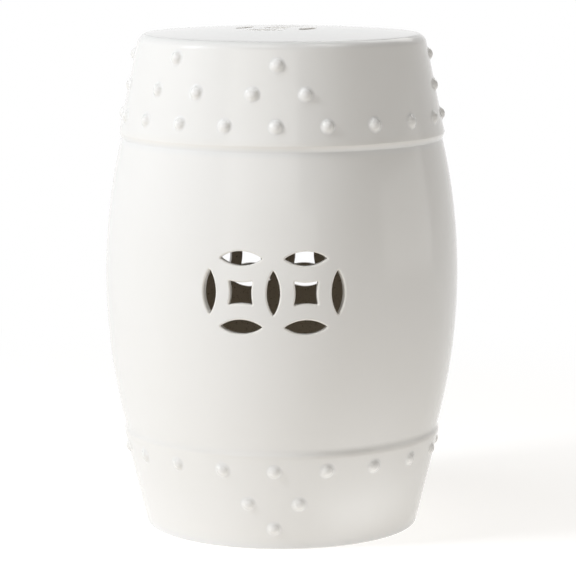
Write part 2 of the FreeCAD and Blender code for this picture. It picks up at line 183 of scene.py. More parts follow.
def fit_fillet(before: Leg, after: Leg, radius: float) -> Fillet:
    """Arc of a radius that touches two legs near the corner between them.

    Args:
        before: Leg that comes into the corner.
        after: Leg that leaves it.
        radius: Radius of the rounding.

    Returns:
        The arc, tangent to both legs even where they are curved.
    """
    rounds = 6
    into = before.at(before.length)[1]
    out = after.at(0.0)[1]
    cross = into[0] * out[1] - into[1] * out[0]
    side = math.copysign(1.0, cross)
    turn = math.acos(max(-1.0, min(1.0, into[0] * out[0] + into[1] * out[1])))
    take_before = radius * math.tan(turn / 2)
    take_after = take_before
    for _ in range(rounds):
        start, into = before.at(before.length - take_before)
        end, out = after.at(take_after)
        centre_in = (start[0] - into[1] * side * radius, start[1] + into[0] * side * radius)
        centre_out = (end[0] - out[1] * side * radius, end[1] + out[0] * side * radius)
        gap = (centre_out[0] - centre_in[0], centre_out[1] - centre_in[1])
        cross = into[0] * out[1] - into[1] * out[0]
        take_before -= (gap[0] * out[1] - gap[1] * out[0]) / cross
        take_after -= (into[0] * gap[1] - into[1] * gap[0]) / -cross
    start, into = before.at(before.length - take_before)
    out = after.at(take_after)[1]
    centre = (start[0] - into[1] * side * radius, start[1] + into[0] * side * radius)
    first = math.atan2(start[1] - centre[1], start[0] - centre[0])
    turn = math.acos(max(-1.0, min(1.0, into[0] * out[0] + into[1] * out[1])))
    return Fillet(centre, radius, side, first, turn, take_before, take_after)


def walk(
    stations: Sequence[Station], spacing: float, closed: bool = False, bend: float = 8.0,
) -> list[Step]:
    """Walk an outline with its corners rounded.

    Args:
        stations: The outline's corners in order.
        spacing: Longest step along a leg.
        closed: Whether the outline comes back to its first station.
        bend: Largest turn of one step round a corner, in degrees.

    Returns:
        The points in order; a closed outline doesn't repeat its first point.
    """
    count = len(stations)
    last = count if closed else count - 1
    legs = [Leg(stations[k], stations[(k + 1) % count]) for k in range(last)]
    fillets: dict[int, Fillet] = {}
    for k, station in enumerate(stations):
        if station.rounding and (closed or 0 < k < count - 1):
            fillets[k] = fit_fillet(legs[k - 1], legs[k % last], station.rounding)
    steps: list[Step] = []
    for k, leg in enumerate(legs):
        head = fillets.get(k)
        tail = fillets.get((k + 1) % count)
        begin = head.taken_after if head else 0.0
        finish = leg.length - (tail.taken_before if tail else 0.0)
        pieces = max(1, math.ceil((finish - begin) / spacing))
        for n in range(pieces + 1):
            point, way = leg.at(begin + (finish - begin) * n / pieces)
            if n == 0 and steps and not head:
                continue
            steps.append(Step(point[0], point[1], way[1], -way[0]))
        if tail:
            steps += round_corner(tail, bend)
    if closed and not fillets.get(0):
        steps.pop()
    return steps


def round_corner(fillet: Fillet, bend: float) -> list[Step]:
    """Steps round a fillet, without its two ends, which belong to the legs."""
    pieces = max(2, math.ceil(math.degrees(fillet.turn) / bend))
    steps = []
    for n in range(1, pieces):
        angle = fillet.first + fillet.side * fillet.turn * n / pieces
        outward = (math.cos(angle), math.sin(angle))
        steps.append(Step(
            fillet.centre[0] + outward[0] * fillet.radius,
            fillet.centre[1] + outward[1] * fillet.radius,
            outward[0] * fillet.side,
            outward[1] * fillet.side,
        ))
    return steps


def bow_radius(half_chord: float, rise: float) -> float:
    """Radius of an arc with this half chord and rise."""
    return (half_chord ** 2 + rise ** 2) / (2 * rise)


def sharp_runs(corners: Sequence[Flat], spacing: float = 60.0) -> list[list[Step]]:
    """Straight runs between hidden corners that stay sharp."""
    pairs = zip(corners, corners[1:])
    return [walk([Station(*start), Station(*end)], spacing) for start, end in pairs]


# Shells


def turned(across: float, up: float, angle: float) -> Point:
    """Point or direction at a radius and height, turned to an angle round the stool."""
    swing = math.radians(angle)
    return (across * math.sin(swing), -across * math.cos(swing), up)


class Shell:
    """Mesh under construction, with a normal for each corner of each face."""

    def __init__(self) -> None:
        """Start with nothing."""
        self.points: list[Point] = []
        self.glaze: list[float] = []
        self.faces: list[tuple[int, ...]] = []
        self.normals: list[Point] = []
        self.finishes: list[Finish] = []

    def add_point(self, point: Point, glaze: float = EVEN_GLAZE) -> int:
        """Add a point and return its number.

        Args:
            point: Its place, in millimetres.
            glaze: How deep the glaze lies, from 0, thin, to 1, deep, where the darker colour is
                partly painted shade.
        """
        self.points.append(point)
        self.glaze.append(glaze)
        return len(self.points) - 1

    def add_face(self, corners: Sequence[int], normals: Iterable[Point], finish: Finish) -> None:
        """Add a face, given its points in order and a normal for each."""
        self.faces.append(tuple(corners))
        self.normals += list(normals)
        self.finishes.append(finish)

    def add_ring(self, step: Step, glaze: float = EVEN_GLAZE) -> list[int]:
        """Ring of points round the stool at one step of an outline."""
        return [
            self.add_point(turned(step.across, step.up, SEGMENT_ANGLE * k), glaze)
            for k in range(SEGMENTS)
        ]

    def skin(
        self, rings: Sequence[list[int]], run: Sequence[Step], finish: Finish,
        left_open: Callable[[int, int], bool] | None = None,
    ) -> None:
        """Cover the way between rings with four-sided faces.

        Args:
            rings: One ring for each step of the run.
            run: The outline's steps, which give the normals.
            finish: What the faces are made of.
            left_open: Says which (row, segment) is left out.
        """
        for row in range(len(rings) - 1):
            for k in range(SEGMENTS):
                if left_open and left_open(row, k):
                    continue
                after = (k + 1) % SEGMENTS
                corners = [(row, k), (row, after), (row + 1, after), (row + 1, k)]
                self.add_face(
                    [rings[r][s] for r, s in corners],
                    [
                        turned(run[r].normal_across, run[r].normal_up, SEGMENT_ANGLE * s)
                        for r, s in corners
                    ],
                    finish,
                )

    def to_object(self, name: str, finishes: dict[Finish, bpy.types.Material]) -> bpy.types.Object:
        """Make the mesh and its object.

        Args:
            name: Name of the piece.
            finishes: Material of each finish.

        Returns:
            The object, linked to the scene.
        """
        mesh = bpy.data.meshes.new(name)
        places = [tuple(value * MM for value in point) for point in self.points]
        mesh.from_pydata(places, [], self.faces)
        used = [finish for finish in Finish if finish in self.finishes]
        for finish in used:
            mesh.materials.append(finishes[finish])
        slots = [used.index(finish) for finish in self.finishes]
        mesh.polygons.foreach_set("material_index", slots)
        mesh.polygons.foreach_set("use_smooth", [True] * len(self.faces))
        depth = mesh.attributes.new(WhiteGlaze.DEPTH, "FLOAT", "POINT")
        depth.data.foreach_set("value", self.glaze)
        mesh.normals_split_custom_set([Vector(n).normalized() for n in self.normals])
        mesh.update()
        piece = bpy.data.objects.new(name, mesh)
        bpy.context.scene.collection.objects.link(piece)
        return piece


def sweep(
    shell: Shell, runs: Sequence[tuple[list[Step], Finish]], glaze: Callable[[Step], float],
    skip: dict[int, Callable[[int, int], bool]] | None = None,
) -> list[list[list[int]]]:
    """Turn runs that follow each other into one closed wall.

    Args:
        shell: Where the points and faces go.
        runs: The runs and their finishes; each starts where the one before ends.
        glaze: Depth of the glaze at a step; its deep end paints shade in creases.
        skip: For a run's number, which (row, segment) is left out.

    Returns:
        The rings of every run.
    """
    made: list[list[list[int]]] = []
    for number, (run, finish) in enumerate(runs):
        rings = [made[-1][-1]] if made else [shell.add_ring(run[0], glaze(run[0]))]
        rings += [shell.add_ring(step, glaze(step)) for step in run[1:]]
        made.append(rings)
    made[-1][-1] = made[0][0]
    for number, (run, finish) in enumerate(runs):
        shell.skin(made[number], run, finish, (skip or {}).get(number))
    return made


# Openings


@dataclass(frozen=True)
class CoinCuts:
    """Sizes of the openings that pierce a coin."""

    level_length: float = 37.4
    level_width: float = 12.6
    upright_length: float = 39.5
    upright_width: float = 11.6
    square_corner: float = 10.6
    square_hollow: float = 1.4
    tip_rounding: float = 0.8
    outer_rounding: float = 2.0
    inner_rounding: float = 1.2
    spacing: float = 1.3

    def outline(self, shape: OpeningShape) -> list[Step]:
        """Opening's outline, anticlockwise as seen from outside, its normals in the clay."""
        level = self.level_length / 2
        level_bow = bow_radius(level, self.level_width / 2)
        upright = self.upright_length / 2
        upright_bow = bow_radius(upright, self.upright_width / 2)
        tip = self.tip_rounding
        corner = self.square_corner
        hollow = -bow_radius(corner, self.square_hollow)
        stations = {
            OpeningShape.LEVEL_LENS: [
                Station(-level, 0, tip, level_bow), Station(level, 0, tip, level_bow),
            ],
            OpeningShape.UPRIGHT_LENS: [
                Station(0, -upright, tip, upright_bow), Station(0, upright, tip, upright_bow),
            ],
            OpeningShape.SQUARE: [
                Station(-corner, -corner, tip, hollow), Station(corner, -corner, tip, hollow),
                Station(corner, corner, tip, hollow), Station(-corner, corner, tip, hollow),
            ],
        }
        return walk(stations[shape], self.spacing, closed=True, bend=18.0)


@dataclass(frozen=True)
class Opening:
    """One cut-out, placed on the plane that it is cut from."""

    shape: OpeningShape
    across: float
    up: float


@dataclass(frozen=True)
class Cutter:
    """Straight way that an opening is cut along.

    The plane's two directions and the way out make a right-handed set.
    """

    origin: Vector
    across: Vector
    up: Vector
    outward: Vector

    def place(self, across: float, up: float, out: float) -> Vector:
        """Point at a place on the plane and a distance outward."""
        return self.origin + self.across * across + self.up * up + self.outward * out


class Face:
    """Curved face of a pierced wall, unrolled to a flat sheet and back."""

    def flatten(self, point: Vector) -> Flat:
        """Place of a point on the sheet."""
        raise NotImplementedError

    def lift(self, flat: Flat) -> tuple[Point, Point]:
        """Point on the face, and the normal there, for a place on the sheet."""
        raise NotImplementedError

    def reach(self, cutter: Cutter, across: float, up: float) -> float:
        """Distance outward at which a cutter's line meets the face."""
        raise NotImplementedError


@dataclass(frozen=True)
class BarrelFace(Face):
    """Outer or inner face of the barrel, which bulges as an arc of a circle."""

    centre_radius: float
    centre_height: float
    curve: float
    middle: float
    side: float

    def radius(self, height: float) -> float:
        """Radius of the face at a height."""
        return self.centre_radius + math.sqrt(self.curve ** 2 - (height - self.centre_height) ** 2)

    def flatten(self, point: Vector) -> Flat:
        """Place of a point on the sheet, unrolled from the motif's middle."""
        angle = math.degrees(math.atan2(point.x, -point.y)) - self.middle
        angle = (angle + 180.0) % 360.0 - 180.0
        return math.radians(angle) * self.radius(self.centre_height), point.z

    def lift(self, flat: Flat) -> tuple[Point, Point]:
        """Point on the face, and the normal there, for a place on the sheet."""
        angle = math.degrees(flat[0] / self.radius(self.centre_height)) + self.middle
        rise = (flat[1] - self.centre_height) / self.curve
        level = math.sqrt(1.0 - rise ** 2)
        normal = turned(level * self.side, rise * self.side, angle)
        return turned(self.radius(flat[1]), flat[1], angle), normal

    def reach(self, cutter: Cutter, across: float, up: float) -> float:
        """Distance outward at which a cutter's line meets the face."""
        return math.sqrt(self.radius(up) ** 2 - across ** 2)


@dataclass(frozen=True)
class DomeFace(Face):
    """Top or underside of the seat, part of a large ball."""

    top: float
    curve: float
    side: float

    def height(self, across: float, along: float) -> float:
        """Height of the face above the floor."""
        ball = self.top - self.curve
        return ball + math.sqrt(self.curve ** 2 - across ** 2 - along ** 2)

    def flatten(self, point: Vector) -> Flat:
        """Place of a point as seen from above."""
        return point.x, point.y

    def lift(self, flat: Flat) -> tuple[Point, Point]:
        """Point on the face, and the normal there, for a place seen from above."""
        height = self.height(*flat)
        ball = self.top - self.curve
        normal = Vector((flat[0], flat[1], height - ball)) * (self.side / self.curve)
        return (flat[0], flat[1], height), tuple(normal)

    def reach(self, cutter: Cutter, across: float, up: float) -> float:
        """Height at which a cutter's line meets the face."""
        spot = cutter.place(across, up, 0.0)
        return self.height(spot.x, spot.y)


def cut_opening(
    shell: Shell, opening: Opening, cutter: Cutter, cuts: CoinCuts, outer: Face, inner: Face,
) -> tuple[list[int], list[int]]:
    """Line an opening with a glazed edge, from the outer face to the inner one.

    Args:
        shell: Where the points and faces go.
        opening: What is cut, and where.
        cutter: The way that it is cut along.
        cuts: Sizes of the cut-outs.
        outer: The wall's outer face.
        inner: The wall's inner face.

    Returns:
        The points of the opening's edge on the outer face and on the inner one.
    """
    outline = cuts.outline(opening.shape)
    quarter = 90.0
    outer_turns = 6
    inner_turns = 4
    thin = 0.12
    rings: list[list[int]] = []
    normals: list[list[Point]] = []

    def add(face: Face, offset: float, depth: float, lean: float, glaze: float) -> None:
        """Add the ring at an offset into the clay and a depth below a face."""
        ring = []
        ring_normals = []
        for step in outline:
            across = opening.across + step.across + step.normal_across * offset
            up = opening.up + step.up + step.normal_up * offset
            out = face.reach(cutter, across, up) - depth
            spot = cutter.place(across, up, out)
            into = cutter.across * step.normal_across + cutter.up * step.normal_up
            surface = Vector(face.lift(face.flatten(spot))[1])
            swing = math.radians(lean)
            normal = surface * math.cos(swing) - into * math.sin(swing)
            ring.append(shell.add_point(tuple(spot), glaze))
            ring_normals.append(tuple(normal.normalized()))
        rings.append(ring)
        normals.append(ring_normals)

    for n in range(outer_turns + 1):
        lean = quarter * n / outer_turns
        swing = math.radians(lean)
        offset = cuts.outer_rounding * (1.0 - math.sin(swing))
        depth = cuts.outer_rounding * (1.0 - math.cos(swing))
        share = math.sin(2 * swing)
        add(outer, offset, depth, lean, EVEN_GLAZE + (thin - EVEN_GLAZE) * share)
    for n in range(inner_turns + 1):
        lean = quarter * (1 - n / inner_turns)
        swing = math.radians(lean)
        offset = cuts.inner_rounding * (1.0 - math.sin(swing))
        depth = -cuts.inner_rounding * (1.0 - math.cos(swing))
        add(inner, offset, depth, lean, EVEN_GLAZE)
    count = len(outline)
    for row in range(len(rings) - 1):
        finish = Finish.GLAZE if row <= outer_turns else Finish.CLAY
        for k in range(count):
            after = (k + 1) % count
            corners = [(row, k), (row, after), (row + 1, after), (row + 1, k)]
            shell.add_face(
                [rings[r][s] for r, s in corners], [normals[r][s] for r, s in corners], finish,
            )
    return rings[0], rings[-1]


def inside(loop: Sequence[Flat], spot: Flat) -> bool:
    """Whether a place lies inside a closed loop."""
    found = False
    for (x1, y1), (x2, y2) in zip(loop, [*loop[1:], loop[0]]):
        if (y1 > spot[1]) != (y2 > spot[1]):
            if spot[0] < x1 + (x2 - x1) * (spot[1] - y1) / (y2 - y1):
                found = not found
    return found


def fill_sheet(
    shell: Shell, border: Sequence[int], openings: Sequence[Sequence[int]], face: Face,
    finish: Finish, spacing: float = 4.0,
) -> None:
    """Cover the sheet between a border and its openings with small triangles.

    Args:
        shell: Where the border's points are, and the new ones go.
        border: Points round the outside of the sheet, in order.
        openings: Points round each opening, in order.
        face: The curved face that the sheet lies on.
        finish: What the faces are made of.
        spacing: Distance between the free points.
    """
    clear = 0.55 * spacing
    sliver_area = 0.001
    loops = [[face.flatten(Vector(shell.points[n])) for n in loop] for loop in (border, *openings)]
    numbers = [n for loop in (border, *openings) for n in loop]
    flats = [flat for loop in loops for flat in loop]
    edges = []
    base = 0
    for loop in loops:
        edges += [(base + n, base + (n + 1) % len(loop)) for n in range(len(loop))]
        base += len(loop)
    lows = [min(flat[axis] for flat in loops[0]) for axis in (0, 1)]
    highs = [max(flat[axis] for flat in loops[0]) for axis in (0, 1)]
    fixed = list(flats)
    row_height = spacing * math.sqrt(0.75)
    for row in range(1, int((highs[1] - lows[1]) / row_height) + 1):
        for column in range(int((highs[0] - lows[0]) / spacing) + 1):
            spot = (lows[0] + spacing * (column + 0.5 * (row % 2)), lows[1] + row_height * row)
            if not inside(loops[0], spot) or any(inside(loop, spot) for loop in loops[1:]):
                continue
            if any(math.dist(spot, other) < clear for other in fixed):
                continue
            flats.append(spot)
            numbers.append(shell.add_point(face.lift(spot)[0]))
    whole_hull = 0
    same_point = 1e-5
    places, _, triangles, origins, _, _ = delaunay_2d_cdt(
        [Vector(flat) for flat in flats], edges, [], whole_hull, same_point, True,
    )
    for triangle in triangles:
        corners = [places[n] for n in triangle]
        middle = (sum(c.x for c in corners) / 3, sum(c.y for c in corners) / 3)
        if not inside(loops[0], middle) or any(inside(loop, middle) for loop in loops[1:]):
            continue
        if abs((corners[1] - corners[0]).cross(corners[2] - corners[0])) < sliver_area:
            continue
        named = [numbers[origins[n][0]] for n in triangle]
        spots = [Vector(shell.points[n]) for n in named]
        normals = [face.lift((c.x, c.y))[1] for c in corners]
        facing = (spots[1] - spots[0]).cross(spots[2] - spots[0])
        if facing.dot(Vector(normals[0])) < 0:
            named.reverse()
            normals.reverse()
        shell.add_face(named, normals, finish)


# The stool's walls


@dataclass(frozen=True)
class Walls:
    """Half section of the whole stool, which its castings are cut from."""

    height: float = 457.0
    seat_crown: float = 5.5
    rim_radius: float = 130.2
    rim_rounding: float = 9.5
    seat_thickness: float = 9.0
    seat_joint: float = 441.0
    seat_lip_depth: float = 6.0
    seat_lip_wall: float = 7.0
    lip_radius: float = 148.9
    lip_height: float = 362.8
    lip_rounding: float = 2.6
    band_wall: float = 8.0
    joint_step: float = 4.0
    joint_depth: float = 6.0
    neck_radius: float = 146.9
    neck_height: float = 357.5
    crease_rounding: float = 2.4
    barrel_curve: float = 548.0
    barrel_wall: float = 7.5
    waist_radius: float = 144.4
    waist_height: float = 92.5
    waist_rounding: float = 8.0
    shoulder_radius: float = 145.9
    shoulder_height: float = 87.5
    shoulder_rounding: float = 10.0
    base_radius: float = 125.0
    base_rounding: float = 2.5
    seat_patch: float = 61.0
    spacing: float = 6.0

    @property
    def rim_height(self) -> float:
        """Height of the seat's rim, before it is rounded."""
        return self.height - self.seat_crown

    @property
    def dome_curve(self) -> float:
        """Radius of the seat's dome."""
        return bow_radius(self.rim_radius, self.seat_crown)

    @property
    def upper_lean(self) -> float:
        """How much the upper band draws in for each millimetre up."""
        return (self.lip_radius - self.rim_radius) / (self.rim_height - self.lip_height)

    @property
    def lower_lean(self) -> float:
        """How much the lower band opens out for each millimetre up."""
        return (self.shoulder_radius - self.base_radius) / self.shoulder_height

    def upper_radius(self, height: float) -> float:
        """Outside of the upper band at a height."""
        return self.rim_radius + (self.rim_height - height) * self.upper_lean

    def lower_radius(self, height: float) -> float:
        """Outside of the lower band at a height."""
        return self.base_radius + height * self.lower_lean

    def barrel_face(self, inset: float, middle: float, side: float) -> BarrelFace:
        """Face of the barrel, moved in by an inset, unrolled from an angle."""
        leg = Leg(
            Station(self.waist_radius, self.waist_height, 0.0, self.barrel_curve),
            Station(self.neck_radius, self.neck_height),
        )
        return BarrelFace(leg.centre[0], leg.centre[1], self.barrel_curve - inset, middle, side)

    def dome_face(self, inset: float, side: float) -> DomeFace:
        """Top of the seat, or its underside, moved down by an inset."""
        return DomeFace(self.height - inset, self.dome_curve, side)

    def outer_run(self) -> list[Step]:
        """Outside of the stool, from the floor to the pierced middle of the seat."""
        dome = self.dome_face(0.0, 1.0)
        base_corner = self.base_rounding
        stations = [
            Station(self.base_radius - 2 * base_corner, 0.0),
            Station(self.base_radius, 0.0, base_corner),
            Station(self.shoulder_radius, self.shoulder_height, self.shoulder_rounding),
            Station(self.waist_radius, self.waist_height, self.waist_rounding, self.barrel_curve),
            Station(self.neck_radius, self.neck_height, self.crease_rounding),
            Station(self.lip_radius, self.lip_height, self.lip_rounding),
            Station(self.rim_radius, self.rim_height, self.rim_rounding, self.dome_curve),
            Station(self.seat_patch, dome.height(self.seat_patch, 0.0)),
        ]
        facing_floor = -0.999
        steps = walk(stations, self.spacing)
        return [step for step in steps if step.normal_up > facing_floor]

    def between(self, low: float, high: float) -> list[Step]:
        """Part of the outside between two heights, cut exactly there."""
        run = self.outer_run()
        steps = [step for step in run if low < step.up < high]
        for before, after in zip(run, run[1:]):
            for level in (low, high):
                if before.up <= level < after.up:
                    share = (level - before.up) / (after.up - before.up)
                    cut = Step(*(
                        a + (b - a) * share
                        for a, b in zip(vars(before).values(), vars(after).values())
                    ))
                    steps.append(cut)
        steps.sort(key=lambda step: step.up)
        return steps

    def glaze_and_shade_at(self, step: Step) -> float:
        """Depth of the glaze at a step: deep in a crease and along the foot, where its darker
        colour is painted shade, and thin over an edge.
        """
        # Radius and height of each mark, how far it reaches and how much it adds. A positive amount
        # deepens the glaze and darkens its colour: painted shade in the crease under the lip.
        marks = (
            (self.neck_radius, self.neck_height, 3.0, 0.2),
            (self.lip_radius, self.lip_height, 2.4, -0.2),
            (self.shoulder_radius, self.shoulder_height, 2.4, -0.2),
            # Along the foot's bottom edge the darker colour is partly deep glaze, partly a painted
            # contact shadow.
            (self.base_radius, 0.0, 6.0, 0.3),
        )
        depth = EVEN_GLAZE
        for across, up, reach, amount in marks:
            distance = math.hypot(step.across - across, step.up - up)
            depth += amount * math.exp(-((distance / reach) ** 2))
        return max(0.0, min(1.0, depth))


@dataclass(frozen=True)
class Piece:
    """Name of a shown piece and of the node that it stands for."""

    name: str
    node: str
    slot: Finish = Finish.GLAZE

    def dress(self, shell: Shell, finishes: dict[Finish, bpy.types.Material]) -> bpy.types.Object:
        """Make the object, let it ride on the stool and stand for its node.

        Args:
            shell: The finished mesh.
            finishes: Material of each finish.

        Returns:
            The dressed object.
        """
        made = shell.to_object(self.name, finishes)
        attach(made, BODY)
        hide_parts(self.node)
        LOG.info("%s: %d points, %d faces", self.name, len(shell.points), len(shell.faces))
        return made


@dataclass
class Seat:
    """Domed disc, cast on its own and luted into the upper band, pierced with one coin."""

    walls: Walls
    piece: Piece = Piece("glazed_seat", "seat_disc")
    cuts: CoinCuts = CoinCuts()
    coin_reach: float = 30.4
    coin_shift: float = -5.0
    coin_turn: float = -20.0

    def openings(self) -> list[Opening]:
        """Square in the middle, and a lens on each of its four sides."""
        reach = self.coin_reach
        found = [Opening(OpeningShape.SQUARE, 0.0, 0.0)]
        for side in (-1, 1):
            found.append(Opening(OpeningShape.LEVEL_LENS, 0.0, reach * side))
            found.append(Opening(OpeningShape.UPRIGHT_LENS, reach * side, 0.0))
        return found

    def build(self, finishes: dict[Finish, bpy.types.Material]) -> bpy.types.Object:
        """Turn the disc, pierce it and dress it."""
        walls = self.walls
        shell = Shell()
        joint = walls.upper_radius(walls.seat_joint)
        lip_outer = joint - walls.joint_step
        lip_inner = lip_outer - walls.seat_lip_wall
        lip_bottom = walls.seat_joint - walls.seat_lip_depth
        top = walls.dome_face(0.0, 1.0)
        under = walls.dome_face(walls.seat_thickness, -1.0)
        patch = walls.seat_patch
        outer_run = walls.between(walls.seat_joint, walls.height)
        outer_rings = [shell.add_ring(step, walls.glaze_and_shade_at(step)) for step in outer_run]
        shell.skin(outer_rings, outer_run, Finish.GLAZE)
        under_run = walk(
            [
                Station(patch, under.height(patch, 0.0), 0.0, -walls.dome_curve),
                Station(lip_inner, walls.rim_height - walls.seat_thickness),
            ],
            walls.spacing * 2,
        )
        under_rings = [shell.add_ring(step) for step in under_run]
        shell.skin(under_rings, under_run, Finish.CLAY)
        ring = under_rings[-1]
        hidden = [
            (lip_inner, under_run[-1].up), (lip_inner, lip_bottom), (lip_outer, lip_bottom),
            (lip_outer, walls.seat_joint), (joint, walls.seat_joint),
        ]
        for number, run in enumerate(sharp_runs(hidden)):
            last = number == len(hidden) - 2
            following = outer_rings[0] if last else shell.add_ring(run[-1])
            shell.skin([ring, following], run, Finish.CLAY)
            ring = following
        self.pierce(shell, top, under, outer_rings[-1], under_rings[0])
        return self.piece.dress(shell, finishes)

    def pierce(
        self, shell: Shell, top: DomeFace, under: DomeFace, top_ring: list[int],
        under_ring: list[int],
    ) -> None:
        """Cut the coin straight down through the middle of the disc.

        Args:
            shell: The disc under construction.
            top: Its upper face.
            under: Its lower face.
            top_ring: Ring of points that the upper sheet is filled up to.
            under_ring: Ring of points that the lower sheet is filled up to.
        """
        swing = math.radians(self.coin_turn)
        cutter = Cutter(
            Vector((self.coin_shift, 0, 0)),
            Vector((math.cos(swing), math.sin(swing), 0)),
            Vector((-math.sin(swing), math.cos(swing), 0)),
            Vector((0, 0, 1)),
        )
        edges = [cut_opening(shell, o, cutter, self.cuts, top, under) for o in self.openings()]
        fill_sheet(shell, top_ring, [edge[0] for edge in edges], top, Finish.GLAZE)
        fill_sheet(shell, under_ring, [edge[1] for edge in edges], under, Finish.CLAY)


@dataclass
class UpperBand:
    """Leaning collar under the seat, whose lip stands out over the barrel."""

    walls: Walls
    piece: Piece = Piece("glazed_upper_band", "upper_band")

    def build(self, finishes: dict[Finish, bpy.types.Material]) -> bpy.types.Object:
        """Turn the collar and dress it."""
        walls = self.walls
        shell = Shell()
        joint = walls.seat_joint
        seat_step = walls.upper_radius(joint) - walls.joint_step
        seat_ledge = joint - walls.seat_lip_depth
        neck_step = walls.neck_radius - walls.joint_step
        neck_ledge = walls.neck_height + walls.joint_depth
        outside = walls.between(walls.neck_height, joint)
        hidden = [
            (outside[-1].across, joint), (seat_step, joint), (seat_step, seat_ledge),
            (walls.upper_radius(seat_ledge) - walls.band_wall, seat_ledge),
            (walls.upper_radius(neck_ledge) - walls.band_wall, neck_ledge),
            (neck_step, neck_ledge), (neck_step, walls.neck_height),
            (outside[0].across, walls.neck_height),
        ]
        runs = [(outside, Finish.GLAZE)] + [(run, Finish.CLAY) for run in sharp_runs(hidden)]
        sweep(shell, runs, walls.glaze_and_shade_at)
        return self.piece.dress(shell, finishes)


@dataclass(frozen=True)
class Motif:
    """Two coins side by side: their place on the barrel and the spacing of their openings."""

    turn: float
    height: float
    coin_angle: float
    coin_reach: float

    def openings(self, column: int) -> list[Opening]:
        """What is cut in one upright column, counted from the shared middle lens."""
        if column % 2 == 0:
            return [Opening(OpeningShape.UPRIGHT_LENS, 0.0, self.height)]
        return [
            Opening(OpeningShape.SQUARE, 0.0, self.height),
            Opening(OpeningShape.LEVEL_LENS, 0.0, self.height + self.coin_reach),
            Opening(OpeningShape.LEVEL_LENS, 0.0, self.height - self.coin_reach),
        ]


@dataclass
class Barrel:
    """Bulging wall, with two coins that share their middle lens cut through front and back."""

    walls: Walls
    piece: Piece = Piece("glazed_barrel", "barrel")
    cuts: CoinCuts = CoinCuts()
    motifs: tuple[Motif, ...] = (
        Motif(turn=-2.6, height=236.5, coin_angle=10.2, coin_reach=30.0),
        Motif(turn=181.35, height=227.8, coin_angle=9.55, coin_reach=26.1),
    )
    patch_angle: float = 28.0
    patch_height: float = 47.0
    columns: tuple[int, ...] = (-2, -1, 0, 1, 2)

    def segments(self, middle: float) -> list[int]:
        """Segments that a motif's sheet spans, the first and last included."""
        first = round((middle - self.patch_angle) / SEGMENT_ANGLE)
        last = round((middle + self.patch_angle) / SEGMENT_ANGLE)
        return list(range(first, last + 1))

    def rows(self, run: list[Step], height: float) -> tuple[int, int]:
        """Rows of a run just outside a motif's sheet."""
        near = [n for n, step in enumerate(run) if abs(step.up - height) < self.patch_height]
        return near[0], near[-1]

    def left_open(self, run: list[Step]) -> Callable[[int, int], bool]:
        """Which (row, segment) of a run the motifs' sheets cover instead."""
        gone = set()
        for motif in self.motifs:
            low, high = self.rows(run, motif.height)
            spans = self.segments(motif.turn)[:-1]
            gone |= {(row, k % SEGMENTS) for row in range(low, high) for k in spans}
        return lambda row, segment: (row, segment) in gone

    def border(self, rings: list[list[int]], run: list[Step], motif: Motif) -> list[int]:
        """Points round the sheet of a motif, in order."""
        low, high = self.rows(run, motif.height)
        spans = [k % SEGMENTS for k in self.segments(motif.turn)]
        below = [rings[low][k] for k in spans]
        above = [rings[high][k] for k in spans]
        right = [rings[row][spans[-1]] for row in range(low + 1, high)]
        left = [rings[row][spans[0]] for row in range(low + 1, high)]
        return below + right + above[::-1] + left[::-1]

    def build(self, finishes: dict[Finish, bpy.types.Material]) -> bpy.types.Object:
        """Turn the wall, pierce it and dress it."""
        walls = self.walls
        shell = Shell()
        top = walls.neck_height + walls.joint_depth
        foot = walls.waist_height + walls.joint_depth
        neck_step = walls.neck_radius - walls.joint_step
        waist_step = walls.waist_radius - walls.joint_step
        inner = walls.barrel_face(walls.barrel_wall, 0.0, -1.0)
        outside = walls.between(walls.waist_height, walls.neck_height)
        inside_run = walk(
            [
                Station(inner.radius(top), top, 0.0, -inner.curve),
                Station(inner.radius(foot), foot),
            ],
            walls.spacing,
        )
        above = [
            (outside[-1].across, walls.neck_height), (neck_step, walls.neck_height),
            (neck_step, top), (inner.radius(top), top),
        ]
        below = [
            (inner.radius(foot), foot), (waist_step, foot), (waist_step, walls.waist_height),
            (outside[0].across, walls.waist_height),
        ]
        runs = [(outside, Finish.GLAZE)]
        runs += [(run, Finish.CLAY) for run in sharp_runs(above)]
        inner_number = len(runs)
        runs += [(inside_run, Finish.CLAY)]
        runs += [(run, Finish.CLAY) for run in sharp_runs(below)]
        skip = {0: self.left_open(outside), inner_number: self.left_open(inside_run)}
        rings = sweep(shell, runs, walls.glaze_and_shade_at, skip)
        for motif in self.motifs:
            outer_border = self.border(rings[0], outside, motif)
            inner_border = self.border(rings[inner_number], inside_run, motif)
            self.pierce(shell, motif, outer_border, inner_border)
        return self.piece.dress(shell, finishes)

    def pierce(
        self, shell: Shell, motif: Motif, outer_border: list[int], inner_border: list[int],
    ) -> None:
        """Cut one motif, each column along its own radius.

        Args:
            shell: The wall under construction.
            motif: What is cut, and where.
            outer_border: Points round its sheet on the outer face.
            inner_border: Points round its sheet on the inner face.
        """
        outer = self.walls.barrel_face(0.0, motif.turn, 1.0)
        inner = self.walls.barrel_face(self.walls.barrel_wall, motif.turn, -1.0)
        edges = []
        for column in self.columns:
            angle = motif.turn + motif.coin_angle * column
            outward = Vector(turned(1.0, 0.0, angle))
            upright = Vector((0, 0, 1))
            cutter = Cutter(Vector(), upright.cross(outward), upright, outward)
            for opening in motif.openings(column):
                edges.append(cut_opening(shell, opening, cutter, self.cuts, outer, inner))
        fill_sheet(shell, outer_border, [edge[0] for edge in edges], outer, Finish.GLAZE)
        fill_sheet(shell, inner_border, [edge[1] for edge in edges], inner, Finish.CLAY)


